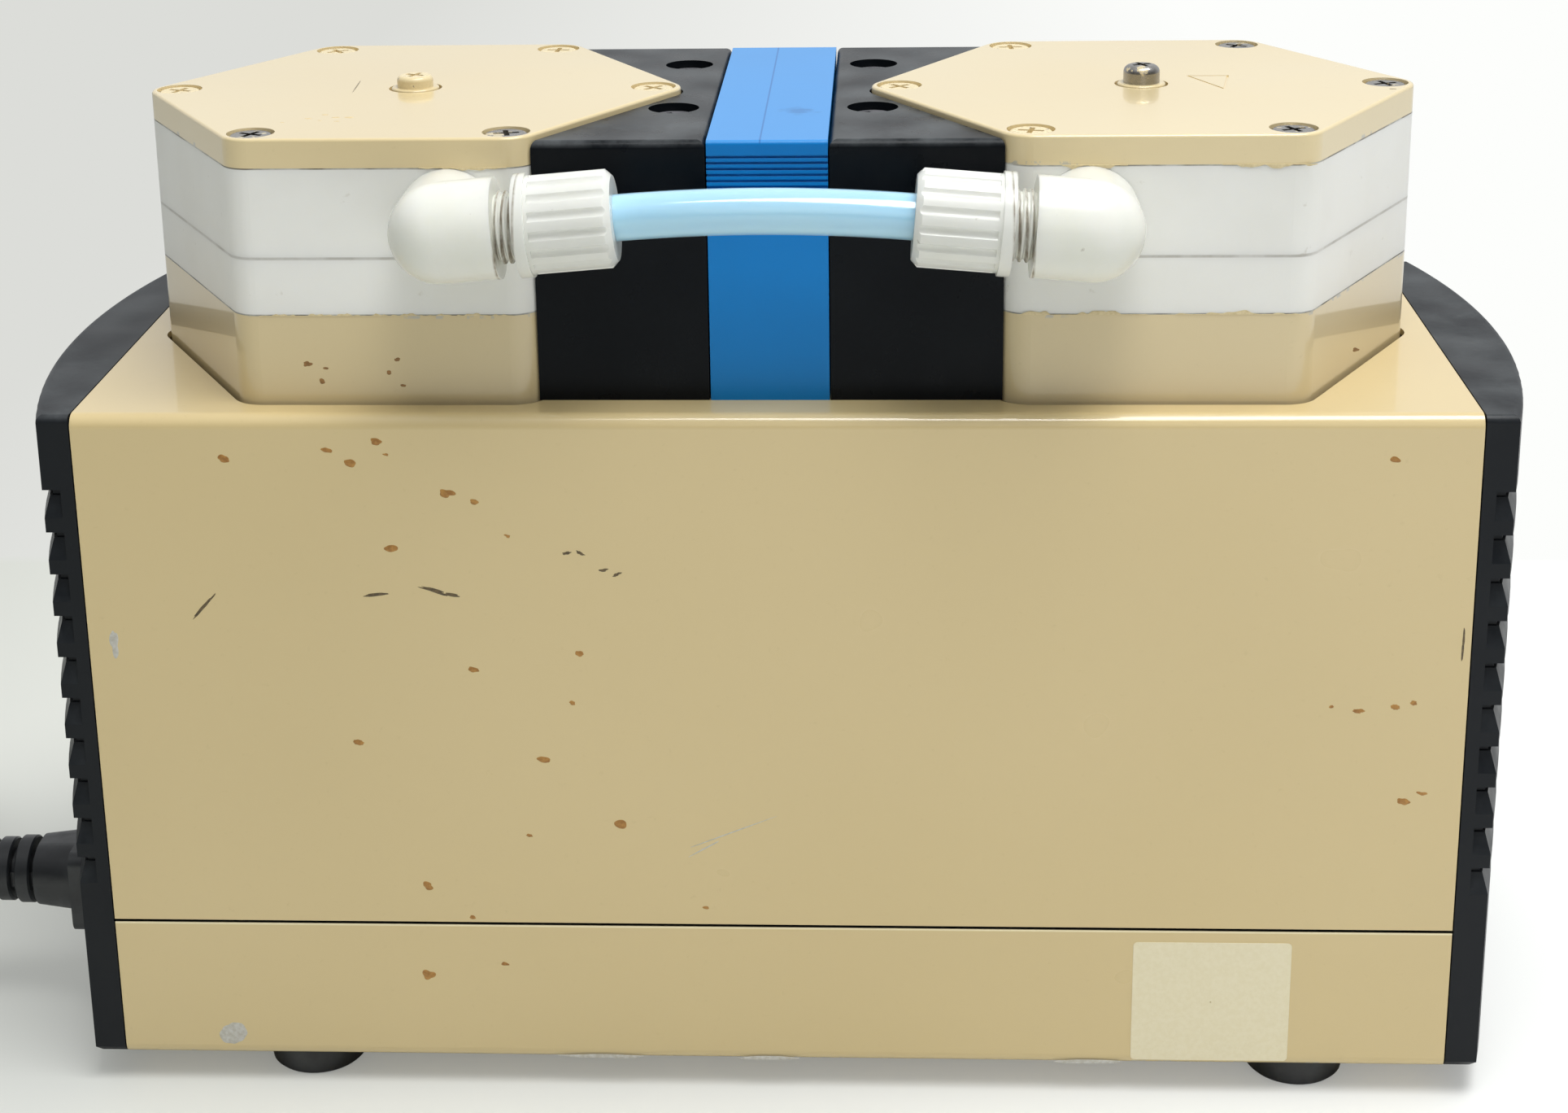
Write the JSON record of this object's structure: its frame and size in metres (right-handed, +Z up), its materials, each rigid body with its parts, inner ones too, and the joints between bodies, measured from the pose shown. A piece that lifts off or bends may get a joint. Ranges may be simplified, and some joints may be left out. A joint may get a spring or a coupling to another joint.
{
  "type": "diaphragm vacuum pump",
  "caption": "Bench-top diaphragm vacuum pump: two hexagonal pump heads in series on a ventilated motor case, joined by a soft tube, with a mains lead.",
  "frame": {"origin": "bench plane under the middle of the case", "axes": "+X along the case to the right-hand head, +Y to the back where the hose nozzles are, +Z up"},
  "size_m": [0.499, 0.2151, 0.2302],
  "materials": {
    "case_paint": "satin powder coat over sheet steel, chipped and specked",
    "head_paint": "brush-smooth enamel over cast aluminium",
    "ptfe": "waxy white machined PTFE",
    "black_plastic": "fine-grained moulded black plastic",
    "blue_plastic": "satin moulded blue plastic",
    "rocker_plastic": "smooth moulded switch rocker",
    "screw_steel": "bright plated cross-recess and socket screws",
    "foot_rubber": "matt black rubber",
    "fluoropolymer": "translucent white fluoropolymer",
    "clear_tube": "milky translucent tube",
    "laminations": "stacked electrical steel, lightly varnished",
    "winding_copper": "varnished copper end windings",
    "shaft_steel": "ground steel",
    "rod_aluminium": "die-cast aluminium",
    "diaphragm_white": "PTFE-faced elastomer",
    "fan_plastic": "glass-filled black plastic",
    "capacitor_shell": "white plastic capacitor can",
    "zinc_steel": "zinc-plated spring steel",
    "inlet_brass": "plated brass blades",
    "cord_rubber": "flexible black rubber sheath"
  },
  "bodies": {
    "pump": {"base_tray": "case_paint", "capacitor_clip": "zinc_steel", "case_screws": "screw_steel", "centre_bushes": "ptfe", "centre_cover_left": "black_plastic", "centre_cover_right": "black_plastic", "connecting_tube": "clear_tube", "cord_coil": "cord_rubber", "cord_tie": "cord_rubber", "crankcase_left": "head_paint", "crankcase_right": "head_paint", "diaphragm_left": "diaphragm_white", "diaphragm_right": "diaphragm_white", "ferrules": "fluoropolymer", "front_elbows": "fluoropolymer", "grip_strip": "blue_plastic", "head_lid_left": "ptfe", "head_lid_right": "ptfe", "head_screws": "screw_steel", "inlet_nozzle": "fluoropolymer", "inlet_pins": "inlet_brass", "intermediate_plate_left": "ptfe", "intermediate_plate_right": "ptfe", "left_side_cap": "black_plastic", "mains_connector": "cord_rubber", "mains_cord": "cord_rubber", "mains_inlet": "black_plastic", "mains_plug": "cord_rubber", "motor_tie_bolts": "screw_steel", "outlet_nozzle": "fluoropolymer", "pressure_plate_left": "head_paint", "pressure_plate_right": "head_paint", "right_side_cap": "black_plastic", "rubber_buffers": "foot_rubber", "rubber_feet": "foot_rubber", "run_capacitor": "capacitor_shell", "shaft_bearings": "shaft_steel", "stator_core": "laminations", "stator_windings": "winding_copper", "switch_housing": "black_plastic", "terminal_block": "black_plastic", "top_cover": "case_paint", "underside_bolts": "screw_steel", "union_nuts": "fluoropolymer"},
    "crank": {"rotor": "laminations", "motor_shaft": "shaft_steel", "eccentric_left": "shaft_steel", "eccentric_right": "shaft_steel", "fans": "fan_plastic"},
    "rod_left": {"connecting_rod_left": "rod_aluminium", "rod_bearing_left": "shaft_steel", "clamp_disc_left": "diaphragm_white"},
    "rod_right": {"connecting_rod_right": "rod_aluminium", "rod_bearing_right": "shaft_steel", "clamp_disc_right": "diaphragm_white"},
    "valve_in_left": {"inlet_valve_left": "diaphragm_white"},
    "valve_out_left": {"outlet_valve_left": "diaphragm_white"},
    "valve_in_right": {"inlet_valve_right": "diaphragm_white"},
    "valve_out_right": {"outlet_valve_right": "diaphragm_white"},
    "rocker": {"rocker_switch": "rocker_plastic"}
  },
  "joints": [
    {"name": "crank_spin", "type": "hinge", "parent": "pump", "child": "crank", "pos_m": [0, 0, 0.096], "axis": [1, 0, 0], "continuous": true},
    {"name": "rod_left_pivot", "type": "hinge", "parent": "crank", "child": "rod_left", "pos_m": [-0.0847, 0, 0.1], "axis": [1, 0, 0], "continuous": true, "deforming": ["diaphragm_left"]},
    {"name": "rod_right_pivot", "type": "hinge", "parent": "crank", "child": "rod_right", "pos_m": [0.0847, 0, 0.092], "axis": [1, 0, 0], "continuous": true, "deforming": ["diaphragm_right"]},
    {"name": "inlet_valve_left_lift", "type": "slide", "parent": "pump", "child": "valve_in_left", "axis": [0, 0, 1], "range_m": [-0.0006, 0]},
    {"name": "outlet_valve_left_lift", "type": "slide", "parent": "pump", "child": "valve_out_left", "axis": [0, 0, 1], "range_m": [0, 0.0006]},
    {"name": "inlet_valve_right_lift", "type": "slide", "parent": "pump", "child": "valve_in_right", "axis": [0, 0, 1], "range_m": [-0.0006, 0]},
    {"name": "outlet_valve_right_lift", "type": "slide", "parent": "pump", "child": "valve_out_right", "axis": [0, 0, 1], "range_m": [0, 0.0006]},
    {"name": "rocker_tilt", "type": "hinge", "parent": "pump", "child": "rocker", "pos_m": [-0.1642, 0.022, 0.033], "axis": [0, 0, 1], "range_deg": [0, 16]}
  ],
  "couplings": [
    {"joint": "rod_left_pivot", "follows": "crank_spin", "ratio": -1},
    {"joint": "rod_right_pivot", "follows": "crank_spin", "ratio": -1}
  ]
}
